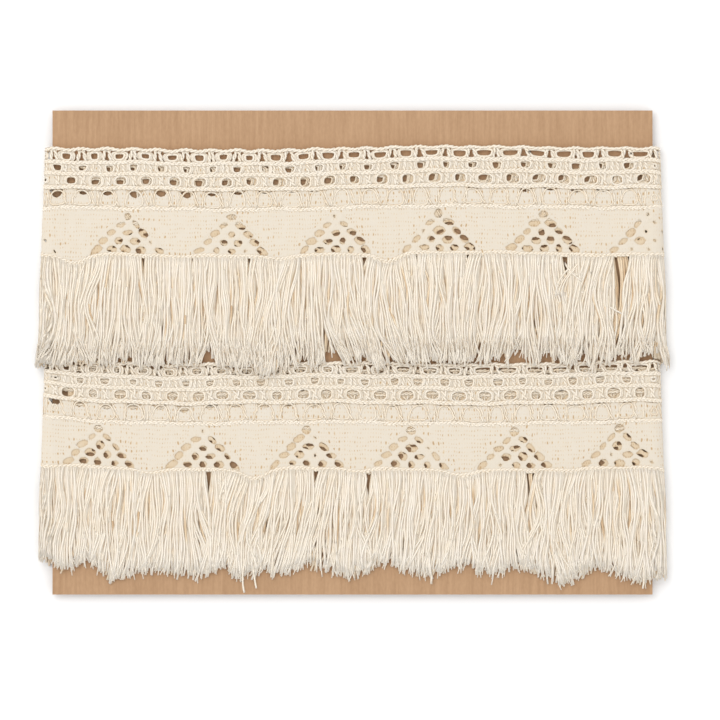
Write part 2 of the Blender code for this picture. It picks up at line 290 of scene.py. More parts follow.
def new_piece(name, points, faces, wraps, values, finish):
    """A mesh object of points in mm and triangles, with a UV map and a value at each point.

    Down the strip is down the card, which mirrors it, so the triangles are turned over.
    """
    points = np.concatenate(points) * MM
    faces, wraps = faces[:, ::-1], wraps.reshape(-1, 3, 2)[:, ::-1]
    mesh = bpy.data.meshes.new(name)
    mesh.vertices.add(len(points))
    mesh.vertices.foreach_set("co", points.ravel())
    mesh.loops.add(faces.size)
    mesh.loops.foreach_set("vertex_index", faces.ravel())
    mesh.polygons.add(len(faces))
    mesh.polygons.foreach_set("loop_start", np.arange(0, faces.size, 3))
    mesh.update(calc_edges=True)
    mesh.uv_layers.new(name="wraps")
    mesh.uv_layers["wraps"].data.foreach_set("uv", wraps.ravel())
    for key, value in values.items():
        mesh.attributes.new(key, "FLOAT", "POINT")
        mesh.attributes[key].data.foreach_set("value", value)
    mesh.materials.append(finish)
    piece = add_object(name, mesh)
    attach(piece, "root")
    return piece


def ring_faces(index, joined=False):
    """Triangles between the closed rings of point numbers index[patch, station, point].

    Joined, the last station meets the first.
    """
    ahead, around = np.roll(index, -1, axis=1), np.roll(index, -1, axis=2)
    diagonal = np.roll(around, -1, axis=1)
    return [np.stack(corners, axis=-1)[:, :None if joined else -1].reshape(-1, 3)
            for corners in ((index, ahead, diagonal), (index, diagonal, around))]


def yarn_mesh(name, groups, finish, flatness):
    """One mesh of closed tubes along many yarns.

    A group is (paths, radius, tone), where paths[yarn, station] is a strip point. The ring at a
    station has three corners: one below the path and two beside and above it, at equal angles,
    widened until the tube is twice its radius across and flattened out of the strip's plane.
    Yarns side by side so close up to a surface with shallow grooves. The UV map holds the length
    along the yarn in metres and the share of the way round it, which is one half on its crown.
    """
    angle = np.pi * np.array([3 / 2, 13 / 6, 17 / 6])
    wide, high = np.cos(angle) / np.cos(np.pi / 6), flatness * np.sin(angle)
    corners = np.arange(3)
    points, faces, wraps, tones = [], [], [], []
    count = 0
    for paths, radius, tone in groups:
        yarns, stations = paths.shape[:2]
        along = np.gradient(paths, axis=1)
        along /= np.linalg.norm(along, axis=2, keepdims=True)
        across = np.cross(along, (0.0, 0.0, 1.0))
        across /= np.linalg.norm(across, axis=2, keepdims=True)
        out = np.cross(across, along)
        ring = across[:, :, None] * wide[:, None] + out[:, :, None] * high[:, None]
        radius = np.broadcast_to(np.asarray(radius, float), (yarns, stations))
        points.append(wind(paths[:, :, None] + ring * radius[:, :, None, None]).reshape(-1, 3))
        index = count + np.arange(yarns * stations * 3).reshape(yarns, stations, 3)
        faces += [*ring_faces(index), index[:, 0], index[:, -1, ::-1]]
        steps = np.linalg.norm(np.diff(paths, axis=1), axis=2)
        length = np.concatenate([np.zeros((yarns, 1)), np.cumsum(steps, axis=1)], axis=1) * MM
        length = np.broadcast_to(length[:, :, None], (yarns, stations, 3))
        start, end = length[:, :-1], length[:, 1:]
        here, ahead = (np.broadcast_to((corners + more) / 3, start.shape) for more in (0, 1))
        first = np.stack([start, here, end, here, end, ahead], axis=-1)
        second = np.stack([start, here, end, ahead, start, ahead], axis=-1)
        wraps += [first.ravel(), second.ravel(), np.zeros(yarns * 12)]
        tones.append(np.repeat(np.broadcast_to(tone, (yarns, stations)).ravel(), 3))
        count += yarns * stations * 3
    values = {"tone": np.concatenate(tones)}
    return new_piece(name, points, np.concatenate(faces), np.concatenate(wraps), values, finish)


def edged(values, axis):
    """Values with one more slice just inside either end of an axis, a twentieth of a step in.

    Smooth shading so rounds a sheet's edge alone, and the cloth beside it stays flat.
    """
    values = np.moveaxis(values, axis, 0)
    begin = values[:1] * 0.95 + values[1:2] * 0.05
    end = values[-1:] * 0.95 + values[-2:-1] * 0.05
    values = np.concatenate([values[:1], begin, values[1:-1], end, values[-1:]])
    return np.moveaxis(values, 0, axis)


def cloth_mesh(name, sheets, finish):
    """One mesh of closed sheets of cloth.

    A sheet is (face, thickness, tone, loose, joined). face[patch, station, row] is a point of
    the outer side. Seen from outside, the rows lie from left to right of the way along the
    stations. The inner side is deeper by the row's thickness. Joined, the last station meets the
    first; otherwise a flat edge closes either end. The UV map holds s and v in metres.
    """
    points, faces, wraps, tones, looseness = [], [], [], [], []
    count = 0
    for face, thickness, tone, loose, joined in sheets:
        tone, loose = (np.broadcast_to(value, face.shape[:3]) for value in (tone, loose))
        face, tone, loose = (edged(values, 2) for values in (face, tone, loose))
        thickness = edged(thickness, 0)
        if not joined:
            face, tone, loose = (edged(values, 1) for values in (face, tone, loose))
        rows = face.shape[2]
        inner = face - thickness[:, None] * (0.0, 0.0, 1.0)
        ring = np.concatenate([face, inner[:, :, ::-1]], axis=2)
        index = count + np.arange(ring[..., 0].size).reshape(ring.shape[:3])
        faces += ring_faces(index, joined)
        if not joined:
            near, far = index[..., :rows], index[..., :rows - 1:-1]
            for corners in ((near[..., :-1], near[..., 1:], far[..., 1:]),
                            (near[..., :-1], far[..., 1:], far[..., :-1])):
                edge = np.stack(corners, axis=-1)
                faces += [edge[:, 0].reshape(-1, 3), edge[:, -1, :, ::-1].reshape(-1, 3)]
        points.append(wind(ring).reshape(-1, 3))
        wraps.append(ring[..., :2].reshape(-1, 2) * MM)
        for value, kept in ((tone, tones), (loose, looseness)):
            kept.append(np.concatenate([value, value[:, :, ::-1]], axis=2).ravel())
        count += index.size
    faces = np.concatenate(faces)
    wraps = np.concatenate(wraps)[faces.ravel()].ravel()
    values = {"tone": np.concatenate(tones), "loose": np.concatenate(looseness)}
    return new_piece(name, points, faces, wraps, values, finish)


# The yarn: undyed cotton, spun soft and lightly plied, matt and a little fuzzy. It is cream; the
# ramp's lower tones are painted shade in its hollows, warm as light that has gone through cotton.
COTTON_AND_SHADE_TONES = [
    # place on the ramp, colour
    (0.00, (0.640, 0.440, 0.255)),
    (0.30, (0.845, 0.675, 0.465)),
    (0.60, (0.890, 0.790, 0.645)),
    (1.00, (0.900, 0.825, 0.720)),
]
COTTON_ROUGHNESS = 0.92
COTTON_RELIEF = 0.0001
MOTTLE = 0.4
PLY_PITCH = 0.0034
PLIES = 2
# A wave texture's diagonal bands repeat at this distance
BAND_PERIOD = 2 * np.pi / 10
# In metres, along the strip and down it: from dot to dot, from hole to hole, from rib to rib
DOT_PITCH, HOLE_PITCH, RIB_PITCH = (0.0013, 0.0021), (0.0026, 0.0042), 0.0009
# How far, in metres, a noise shifts the rows of dots and holes
ROW_WAVER = 0.0026


def cotton_colour(tree, shader, place, tone, light):
    """Colour of a tone, times light, after a soft noise about nought is added to the tone."""
    tone = weighted(tree, noise(tree, place.outputs["Object"], 160.0), MOTTLE, tone)
    coloured(tree, shader, weighted(tree, tone, 1.0, -MOTTLE / 2), COTTON_AND_SHADE_TONES, light)


def peaks(tree, value, period, power):
    """A cosine of a value, with its negative half cut off, raised to a power."""
    wave = maths(tree, "COSINE", weighted(tree, value, 2 * np.pi / period, 0.0))
    return maths(tree, "POWER", maths(tree, "MAXIMUM", wave, 0.0), power)


def product(tree, made, *others):
    """The product of several outputs."""
    for value in others:
        made = maths(tree, "MULTIPLY", made, value)
    return made


def cloth_finish(name, dots, holes, light):
    """Cream close cloth: its tone falls at small dots in rows, and at larger holes where loose.

    A dot is where a cosine of s and one of v both peak, in patches of a noise. So is a hole, at
    a wider pitch, times the looseness. Dots, holes and upright ribs between them are a bump.
    The dots and holes are painted shade of small gaps and holes that the sheet does not have.
    """
    finish, shader = new_finish(name, COTTON_ROUGHNESS)
    tree = finish.node_tree
    place = add_node(tree, "TexCoord")
    solid, wraps = place.outputs["Object"], place.outputs["UV"]
    tone, loose = (add_node(tree, "Attribute", {"attribute_name": key}).outputs["Fac"]
                   for key in ("tone", "loose"))
    across = add_node(tree, "SeparateXYZ", Vector=wraps)
    s, v = (weighted(tree, noise(tree, wraps, 150.0, stretch=(1.0, way, 1.0)), ROW_WAVER,
                     across.outputs[axis])
            for axis, way in (("X", 1.0), ("Y", -1.0)))
    patches = maths(tree, "MULTIPLY_ADD", noise(tree, solid, 330.0, 1.0), 3.0, -0.9, clamp=True)
    small = product(tree, peaks(tree, s, DOT_PITCH[0], 1.6), peaks(tree, v, DOT_PITCH[1], 0.7),
                    patches)
    coarse = noise(tree, solid, 260.0, 1.0, (1.3, 1.0, 1.0))
    chosen = maths(tree, "MULTIPLY_ADD", coarse, 7.0, -3.0, clamp=True)
    big = product(tree, peaks(tree, s, HOLE_PITCH[0], 1.6), peaks(tree, v, HOLE_PITCH[1], 0.8),
                  chosen, loose)
    # Painted shade of the gaps and holes; the bump below sinks them as well.
    sunk = weighted(tree, small, dots, weighted(tree, big, holes, 0.0))
    cotton_colour(tree, shader, place, weighted(tree, sunk, -1.0, tone), light)
    height = weighted(tree, peaks(tree, s, RIB_PITCH, 1.0), 0.35, weighted(tree, sunk, -1.0, 1.0))
    height = weighted(tree, noise(tree, solid, 2600.0), 0.8, height)
    bumped(tree, shader, height, COTTON_RELIEF)
    return finish


def cotton_finish(name, ply_bump, shade, split, light):
    """Cream yarn: its tone falls by the square of the way off its crown.

    A split yarn is two side by side: a share of the way off is that from either one's crown.
    The fall in tone is painted shade, on the flanks and in the groove between the two.
    The yarn's plies and fibres are a bump.
    """
    finish, shader = new_finish(name, COTTON_ROUGHNESS)
    tree = finish.node_tree
    place = add_node(tree, "TexCoord")
    tone = add_node(tree, "Attribute", {"attribute_name": "tone"}).outputs["Fac"]
    round_yarn = add_node(tree, "SeparateXYZ", Vector=place.outputs["UV"]).outputs["Y"]
    off_crown = maths(tree, "ABSOLUTE", weighted(tree, round_yarn, 6.0, -3.0))
    off_crown = maths(tree, "MINIMUM", off_crown, 1.0)
    off_half = maths(tree, "ABSOLUTE", weighted(tree, off_crown, 2.0, -1.0))
    off_crown, off_half = (maths(tree, "POWER", off, 2.0) for off in (off_crown, off_half))
    if split:
        off_crown = weighted(tree, off_crown, 1.0 - split, weighted(tree, off_half, split, 0.0))
    # Painted shade: the tone falls off the crown, towards the flanks and the grooves between yarns.
    cotton_colour(tree, shader, place, weighted(tree, off_crown, -shade, tone), light)
    scales = (BAND_PERIOD / PLY_PITCH, BAND_PERIOD * PLIES, 1.0)
    wound = add_node(tree, "Mapping", Vector=place.outputs["UV"], Scale=scales).outputs["Vector"]
    plies = add_node(tree, "TexWave", {"bands_direction": "DIAGONAL"}, Scale=1.0, Vector=wound)
    fibres = noise(tree, place.outputs["Object"], 3800.0, 2.0)
    height = weighted(tree, fibres, 0.5, plies.outputs["Fac"])
    bumped(tree, shader, weighted(tree, height, ply_bump, 1.0), COTTON_RELIEF)
    shader.inputs["Sheen Weight"].default_value = 0.06
    shader.inputs["Sheen Roughness"].default_value = 0.6
    return finish


lace_cotton = cotton_finish("lace_cotton", ply_bump=0.20, shade=0.40, split=0.0, light=1.02)
cloth_cotton = cloth_finish("cloth_cotton", dots=0.75, holes=1.2, light=0.80)
net_cotton = cloth_finish("net_cotton", dots=0.35, holes=0.6, light=0.80)

# The lace heading: worked in cotton yarn, 55 mm deep. A scalloped edge cord and four braids run
# along it, with rows of openings between them. Yarns trace each opening's edge, and pairs of
# yarn twisted round each other cross the ground between two openings.
rng = np.random.default_rng(7)
CELL = REPEAT / 4
YARN, YARN_TONE = 0.58, 0.80
OUTER_W = 1.55
OUTER_RISE = -0.15
EDGE_V = 1.2
EDGE_TWIST = 4.9
EDGE_SPREAD = 0.5
SCALLOP_RISE = 0.9
BRAIDS_V = (8.1, 13.8, 20.7, 31.0)
BRAIDS_RAISED = (0.12, 0.10, 0.10, 0.06)
BRAID_PERIOD = 6.2
BRAID_HALF = 0.66
PLAITED = 3
FOOT_V = 54.3
FOOT_RAISED, FOOT_HALF = 0.1, 0.75
# How far out and in plaited and twisted yarns go where they cross
LIFT = 0.18
# Most by which a yarn is higher or lower than the middle, and lighter or darker, each drawn apart
UNEVEN, TONE_SPREAD = 0.07, 0.10
Row = namedtuple("Row", "rings fewer shift v widths height openness")
ROWS = [
    # rings, fewer where openings are wide, shift from an apex, v, width at the top, the middle
    # and the bottom, height, share of the strip's openness that its openings follow
    Row(3, 1, -3.5, 5.1, (7.4, 7.2, 5.6), 3.0, 1.0),
    Row(2, 0, 3.8, 11.0, (5.0, 4.2, 3.0), 3.0, 0.3),
    Row(2, 0, -2.5, 17.3, (4.6, 6.6, 4.8), 4.2, 0.2),
    Row(1, 0, 4.0, 25.9, (4.2, 7.2, 8.6), 7.0, 0.0),
]
WIDE_OPENNESS = 0.8
# Least and most that single openings are scaled by, along and down, and how far they are nudged
SCALE_LEAST, SCALE_MOST, NUDGE = (0.80, 0.85), (1.15, 1.12), 0.6
EDGE_SCALE = 0.3
# The last row's openings are bells, with thinner yarns, darker by painted shade along their
# outlines
BELLS = 3
BELL_YARN, BELL_TONE = 0.42, 0.66
# Rings from an opening's edge outwards: how much larger to either side, how far raised
RING_GROW = 0.50
RINGS = ((RING_GROW, 0.08), (1.22, 0.0), (1.94, -0.06))
SQUARENESS = 0.62
LEGS = [
    # shift from an apex, start and end of a leg from there, bow; each leg has its mirror image
    (3.0, (0.8, 2.0), (1.9, 7.6), 0.2),
    (-2.7, (1.0, 8.7), (1.7, 13.3), 0.2),
    (4.0, (-1.3, 14.6), (1.3, 20.0), 0.0),
    (-2.5, (2.6, 21.5), (1.0, 30.4), 0.3),
]
LEG_STATIONS = 6
LEG_SPREAD = 0.55
# Least and most that single legs are stretched by, along and down
LEG_LEAST, LEG_MOST = (0.6, 1.0), (1.3, 1.0)
# How far the lace's lower edge sags where the fringe is bunched: the first bunch and each drop
FIRST_BUNCH = FIRST_APEX - REPEAT / 2
BUNCH_DROPS = np.array([1.0, 4.6, 0.5, 1.8, 4.6, 0.0, 1.0, 2.0, 1.0, 3.0, 0.5, 2.0, 1.0, 1.2, 1.5,
                        5.2, 1.4, 3.0, 1.0, 2.0, 1.0])
SAG_V = 42.0
SAG_REACH = 7.5


def level(s, raised=0.0):
    """w of the middle of the outer turn's lace: a little less in front, plus what it is raised."""
    return OUTER_W + OUTER_RISE * front_share(s) + raised


def at_level(flat, raised=0.0):
    """Points of the lace, on its level, from their s and v."""
    return np.concatenate([flat, level(flat[..., :1], raised)], axis=-1)


def sag(s, v):
    """How far the lower edge hangs down: each bunch's drop, fading by a bell curve to its sides.

    It comes in between the middle of the dense band and the foot.
    """
    number = np.clip(np.round((s - FIRST_BUNCH) / REPEAT).astype(int), 0, len(BUNCH_DROPS) - 1)
    from_bunch = s - FIRST_BUNCH - number * REPEAT
    come_in = np.clip((v - SAG_V) / (FOOT_V - SAG_V), 0, 1) ** 1.5
    return BUNCH_DROPS[number] * np.exp(-(from_bunch / SAG_REACH) ** 2) * come_in


def plait(s, v, half, raised):
    """Yarns plaited along a line.

    The yarns are set off by equal phases. Each swings across the line by half times the sine of
    its phase, and out and in by a lift times the sine of twice its phase.
    """
    turn = 2 * np.pi * (s / BRAID_PERIOD + np.arange(PLAITED)[:, None] / PLAITED)
    return np.stack([
        np.broadcast_to(s, turn.shape),
        v + half * np.sin(turn),
        level(s, raised) + LIFT * np.sin(2 * turn),
    ], axis=-1)


def twisted(path, turns, spread):
    """Two yarns wound round each path, half a turn apart.

    path is an array of paths. Each yarn stands off by spread times the cosine across the path
    and by a lift times the sine out of it, through the given number of turns.
    """
    along = np.gradient(path, axis=-2)
    across = np.stack([-along[..., 1], along[..., 0], 0 * along[..., 0]], axis=-1)
    across = across / np.linalg.norm(across, axis=-1, keepdims=True)
    turn = 2 * np.pi * turns * np.linspace(0, 1, path.shape[-2])
    shift = across * (spread * np.cos(turn))[:, None]
    shift[..., 2] += LIFT * np.sin(turn)
    return np.concatenate([path + shift, path - shift])


def cells(shift, low, high):
    """Middles of the cells between two distances, for a row set off by shift from the apexes."""
    first = np.ceil((low - FIRST_APEX - shift) / CELL)
    return np.arange(FIRST_APEX + shift + first * CELL, high, CELL)


def openness(s):
    """How wide an opening is drawn: a cosine wave once round the card, least at the left."""
    return 0.80 - 0.30 * np.cos(2 * np.pi * (s - UPPER_START) / ONCE_ROUND)


def leg(start, end, bow):
    """A path between two points, bowed along the strip by a half sine, and its mirror image."""
    share = np.linspace(0, 1, LEG_STATIONS)[:, None]
    path = np.array(start) * (1 - share) + np.array(end) * share
    path[:, 0] += bow * np.sin(np.pi * share[:, 0])
    return np.array([path, path * (-1.0, 1.0)])


def opening_rings(places, v, widths, height, grow, scale, stations):
    """A closed ring round each opening, at its place along the strip.

    The cosine and the sine of the angle are raised to a power, which squares the ring. The sine
    runs down half the height, and the cosine along half the width, which goes from the top one
    through the middle one to the bottom one. Both are scaled for each opening. It is larger by
    grow to either side, and up and down by what the first ring grows and a quarter of the rest.
    """
    turn = np.linspace(0, 2 * np.pi, stations) - np.pi / 2
    across, down = (np.sign(way) * abs(way) ** SQUARENESS for way in (np.cos(turn), np.sin(turn)))
    half = np.interp(down, [-1, 0, 1], np.array(widths) / 2) * scale[:, :1] + grow
    s = places[:, None] + across * half
    deep = height / 2 * scale[:, 1:] + RING_GROW + (grow - RING_GROW) / 4
    return np.stack([s, v + down * deep], axis=-1)


def toned(middle, yarns, draws):
    """A tone for each yarn, the same along it: a middle one, give or take an even spread."""
    return middle + draws.uniform(-TONE_SPREAD, TONE_SPREAD, (len(yarns), 1))


def dressed(groups, radius, middle):
    """Groups of paths with their radius and tones, slackened a little and sagging.

    Each yarn lies a little higher or lower than its neighbours.
    """
    made = []
    for paths in groups:
        paths = slack(paths)
        paths[..., 2] += rng.uniform(-UNEVEN, UNEVEN, (len(paths), 1))
        paths[..., 1] += sag(paths[..., 0], paths[..., 1])
        made.append((paths, radius, toned(middle, paths, rng)))
    return made


def laid(sheets):
    """Sheets of cloth, slackened a little and sagging as the yarns are."""
    made = []
    for face, *rest in sheets:
        face = slack(face)
        face[..., 1] += sag(face[..., 0], face[..., 1])
        made.append((face, *rest))
    return made


def edging(low, high, step):
    """The scalloped edge cord, the four braids and the foot braid, between two distances.

    The edge cord swings down towards each large opening by a cosine, and up between them.
    """
    s = np.arange(low, high, step)
    swing = np.cos(2 * np.pi * (s - FIRST_APEX - ROWS[0].shift) / CELL)
    edge = np.stack([s, EDGE_V + SCALLOP_RISE * (1 + swing) / 2, level(s)], axis=-1)[None]
    groups = [twisted(edge, (high - low) / EDGE_TWIST, EDGE_SPREAD)]
    for v, raised in zip(BRAIDS_V, BRAIDS_RAISED):
        groups.append(plait(s, v, BRAID_HALF, raised))
    groups.append(plait(s, FOOT_V, FOOT_HALF, FOOT_RAISED))
    return dressed(groups, YARN, YARN_TONE)


def openings(number, low, high):
    """Middles of a row's cells between two distances, and each opening's own middle and scale.

    The openings at the card's side edges are small.
    """
    local = np.random.default_rng((number, int(abs(low))))
    places = cells(ROWS[number].shift, low + 6, high - 6)
    scale = 1 + ROWS[number].openness * (openness(places)[:, None] - 1) * (1.0, 0.2)
    scale = scale * local.uniform(SCALE_LEAST, SCALE_MOST, scale.shape)
    scale[abs(world_x(places)) > HALF_CARD - 2] *= EDGE_SCALE
    return places, places + local.uniform(-NUDGE, NUDGE, places.shape), scale


def open_rows(low, high, stations):
    """Rings round each opening of the four rows, and a pair of legs between two openings."""
    groups, bells = [], []
    for number, row in enumerate(ROWS):
        places, nudged, scale = openings(number, low, high)
        for ring, (grow, raised) in enumerate(RINGS[:row.rings]):
            rings = opening_rings(nudged, row.v, row.widths, row.height, grow, scale, stations)
            rings = rings[(openness(places) < WIDE_OPENNESS) | (ring < row.rings - row.fewer)]
            (bells if number == BELLS else groups).append(at_level(rings, raised))
    for number, (shift, start, end, bow) in enumerate(LEGS):
        places = cells(shift, low + 5, high - 5)
        drawn = rng.uniform(LEG_LEAST, LEG_MOST, (len(places), 1, 1, 2))
        legs = leg(start, end, bow) * drawn + places[:, None, None, None] * (1.0, 0.0)
        legs = at_level(legs.reshape(-1, LEG_STATIONS, 2))
        (bells if number == BELLS else groups).append(twisted(legs, 1.0, LEG_SPREAD))
    return dressed(groups, YARN, YARN_TONE) + dressed(bells, BELL_YARN, BELL_TONE)


# The dense band and the lattice: below the last braid the lace is close cloth, which also fills
# the ground between the openings above. Out of the band's foot rise open triangles, one to a
# repeat, where the same yarn is puffed up round small openings on a diamond grid.
CLOTH_THICKNESS, BAND_THICKNESS = 0.4, 0.5
BAND_RAISED, BAND_TONE = 0.23, 0.72
ROW_CLOTH_TONE, BELL_CLOTH_TONE = 0.70, 0.78
APEX_V = 34.6
GRID_ALONG = 3.95
GRID_DOWN = 4.25
GRID_ROWS = 5
NET_WIDTHS, NET_HEIGHT = (2.9, 4.3, 2.9), 3.0
NET_LEAST, NET_MOST, NET_NUDGE = (0.65, 0.55), (1.30, 1.25), 0.5
NET_CLOSED, CLOSED_SCALE = 0.08, 0.2
# Tone of the lattice's cloth, and its painted shade towards an opening's edge
NET_TONE, NET_SHADE = 0.74, 0.30
NET_ROUGH, CLOTH_ROUGH = 0.12, 0.15
PUFF = 0.28
OVERLAP = 1.03
# How far a border's openings lean along it, to each millimetre down
BORDER_SHEAR = 0.55


def apexes(low, high):
    """Places of the lattice's apexes between two distances, one more at either end."""
    first = np.floor((low - FIRST_APEX) / REPEAT)
    return np.arange(FIRST_APEX + first * REPEAT, high + REPEAT, REPEAT)


def turns(stations):
    """Angles once round an opening from its top, without the last, which is the first."""
    return np.arange(stations) * 2 * np.pi / stations - np.pi / 2


def outline(turn, along, down, combine):
    """Points at the angles: a diamond if combine adds, a rectangle if it takes the larger."""
    points = np.stack([along * np.cos(turn), down * np.sin(turn)], axis=-1)
    return points / combine(abs(np.cos(turn)), abs(np.sin(turn)))[:, None]


def between(edge, outer, places, v, share):
    """Weighted means of each opening's edge and of an outer outline about its place."""
    outer = outer + np.stack([places, 0 * places + v], axis=-1)[:, None]
    return edge[:, :, None] * (1 - share) + outer[:, :, None] * share


def lattice(low, high, stations, rows):
    """Close cloth round each opening of the lattice, puffed up between the openings.

    An opening's cloth reaches to a diamond of the grid about it, in the lowest row to a
    rectangle down to the foot braid. Each row between the two outlines is their weighted mean,
    and it is raised by a quarter ellipse from the opening's edge. Neighbours overlap a little,
    by turns one above the other. An opening on a border is sheared along it. A few openings,
    and those at the card's side edges, are nearly closed.
    """
    turn = turns(stations)
    share = (1 - np.linspace(0, 1, rows)) ** 1.6
    puff = PUFF * np.sqrt(1 - (1 - share) ** 2)
    sheets = []
    for left in range(GRID_ROWS):
        for right in range(GRID_ROWS - left):
            middle = APEX_V + GRID_DOWN * (left + right)
            places = apexes(low, high) + GRID_ALONG * (left - right)
            places = places[(places > low + GRID_ALONG) & (places < high - GRID_ALONG)]
            scale = rng.uniform(NET_LEAST, NET_MOST, (len(places), 2))
            at_turn = abs(world_x(places) - 2) > HALF_CARD - 5
            closed = at_turn | (rng.uniform(size=len(places)) < NET_CLOSED)
            scale[closed] *= CLOSED_SCALE
            nudged = places + rng.uniform(-NET_NUDGE, NET_NUDGE, len(places))
            edge = opening_rings(nudged, middle, NET_WIDTHS, NET_HEIGHT, 0.1, scale, stations + 1)
            edge = edge[:, :-1] + rng.normal(0, NET_ROUGH, (len(places), stations, 2))
            shear = BORDER_SHEAR * ((right == 0) * 1.0 - (left == 0) * 1.0)
            edge[..., 0] += shear * (edge[..., 1] - middle)
            outer = outline(turn, GRID_ALONG, GRID_DOWN, np.add)
            if left + right == GRID_ROWS - 1:
                box = outline(turn, GRID_ALONG, FOOT_V - middle, np.maximum)
                outer = np.where(np.sin(turn)[:, None] > 0, box, outer)
            flat = between(edge, OVERLAP * outer, places, middle, share[:, None])
            face = at_level(flat, puff[:, None] - 0.02 * ((left + right) % 2))
            # Painted shade: the cloth darkens towards the opening's edge, where it slopes down.
            tone = NET_TONE - NET_SHADE * (1 - share) ** 4 + 0 * flat[..., 0]
            sheets.append((face, 0.06 + 2 * puff, tone, 0.0, True))
    return laid(sheets)


def dense_band(low, high, step, rows):
    """Close cloth from the last braid down to the foot braid, or to the lattice's border.

    Its openness fades by a bell curve above the border, faster to the left of an apex.
    """
    s = np.arange(low + 0.3, high - 0.3, step)
    beside = (s - FIRST_APEX + REPEAT / 2) % REPEAT - REPEAT / 2
    border = APEX_V - GRID_DOWN + abs(beside) * GRID_DOWN / GRID_ALONG + 0.5
    bottom = np.where(abs(beside) > GRID_ROWS * GRID_ALONG, FOOT_V, border)
    v = BRAIDS_V[-1] + (bottom - BRAIDS_V[-1])[:, None] * np.linspace(0, 1, rows)
    s = np.broadcast_to(s[:, None], v.shape)
    ripple = 0.10 * np.sin(s / 3.3 + v / 5.1) * np.sin(s / 8.9 - v / 3.7)
    face = np.stack([s, v, level(s, BAND_RAISED + ripple)], axis=-1)[None]
    fade = np.where(beside > 0, 11.0, 6.0)[:, None]
    loose = np.exp(-((border[:, None] - v) / fade) ** 2)
    return laid([(face, np.full(rows, BAND_THICKNESS), BAND_TONE, loose, False)])


def row_cloth(low, high, stations, rows):
    """Close cloth round each opening of the two middle rows, from braid to braid.

    Each row of it from the cell's rectangle in to the opening's edge is their weighted mean.
    Every second cell lies a little deeper, and neighbours overlap.
    """
    turn = turns(stations)
    share = np.linspace(1, 0, rows)[:, None]
    sheets = []
    for number in (1, 2):
        row = ROWS[number]
        places, nudged, scale = openings(number, low, high)
        edge = opening_rings(nudged, row.v, row.widths, row.height, 0.3, scale, stations + 1)
        edge = edge[:, :-1] + rng.normal(0, CLOTH_ROUGH, (len(places), stations, 2))
        reach = np.where(np.sin(turn) > 0, BRAIDS_V[number] - row.v, row.v - BRAIDS_V[number - 1])
        flat = between(edge, outline(turn, CELL * 0.52, reach, np.maximum), places, row.v, share)
        face = at_level(flat, 0.06 - 0.05 * (np.arange(len(places)) % 2)[:, None, None, None])
        tone = ROW_CLOTH_TONE + rng.uniform(-0.05, 0.05, (len(places), 1, 1))
        sheets.append((face, np.full(rows, CLOTH_THICKNESS), tone, 0.5, True))
    return laid(sheets)


def bell_cloth(low, high, rows):
    """Close cloth behind the bells of the last row, one piece for each.

    It leaves a crescent open at the top of a bell by a parabola, deeper at a row's left end.
    Every second piece lies a little deeper, and neighbours overlap.
    """
    row = ROWS[BELLS]
    places = cells(row.shift, low + 6, high - 6)
    rightness = np.clip(1.2 + world_x(places) / 70.0, 0, 1)
    crescent = 0.3 + 2.2 * (1 - rightness) + 1.2 * rng.uniform(0, 1, len(places)) ** 3
    share, lane = np.linspace(0, 1, rows), np.linspace(-1, 1, 9)[:, None]
    crescent = crescent[:, None, None] * np.maximum(0, 1.2 - (1.8 * lane) ** 2)
    top = row.v - row.height / 2 - 0.8 + crescent
    down = top + (row.v + row.height / 2 + 1.2 - top) * share
    s = np.broadcast_to(places[:, None, None] + lane * CELL * 0.51, down.shape)
    raised = 0.06 - 0.05 * (np.arange(len(places)) % 2)[:, None, None]
    face = np.stack([s, down, level(s, raised)], axis=-1)
    tone = BELL_CLOTH_TONE + rng.uniform(-0.06, 0.06, (len(places), 1, 1))
    return laid([(face, np.full(rows, CLOTH_THICKNESS), tone, 0.8, False)])


# The yarns and the cloth begin and end just inside the strip's ends
END = 0.5
ENDS = END, STRIP_LENGTH - END
cords = yarn_mesh("edge_cord_and_braids", edging(*ENDS, step=1.15), lace_cotton, flatness=0.65)
rows = yarn_mesh("open_rows", open_rows(*ENDS, stations=15), lace_cotton, flatness=0.55)
ground = dense_band(*ENDS, step=0.8, rows=12) + bell_cloth(*ENDS, rows=4)
ground += row_cloth(*ENDS, stations=16, rows=3)
band = cloth_mesh("dense_band", ground, cloth_cotton)
diamonds = cloth_mesh("lattice", lattice(*ENDS, stations=16, rows=5), net_cotton)
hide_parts("heading")

# The turn underneath: the strip goes round twice, so the same lace lies between the outer turn
# and the card. It has slipped down a few millimetres and shows through the openings above it.
UNDER_W = 0.93
UNDER_DEPTH = 0.5
# Painted shade: how far in tone the yarns and the cloth underneath fall below the outer turn's.
UNDER_TONE, CLOTH_TONE = 0.22, 0.40
UNDER_ROWS = [
    # first and last distance of a row, the shift along it and the slip down at either end of it
    (STARTS[2] - 2, STARTS[3] + 2, (6.0, 4.0), (7.0, 5.8)),
    (STARTS[6] - 2, STARTS[7] + 2, (6.8, 5.8), (2.8, 3.2)),
]


def slipped(points, low, high, shift, slip):
    """Points of the lace, shifted and slipped down by amounts that change evenly along a row.

    The slip fades towards the foot. Out of the plane they are flattened about their own level.
    """
    s, v, w = np.moveaxis(points, -1, 0)
    w = UNDER_W + UNDER_DEPTH * (w - level(s))
    v = v + np.interp(s, (low, high), slip) * np.clip((FOOT_V - v) / 20, 0, 1)
    s = s + np.interp(s, (low, high), shift)
    return np.stack([s, v, w], axis=-1)


def yarns_underneath(row):
    """The yarns of the lace once more, coarser, and darker by painted shade."""
    lace = edging(*row[:2], step=2.0) + open_rows(*row[:2], stations=11)
    return [(slipped(paths, *row), radius, tone - UNDER_TONE) for paths, radius, tone in lace]


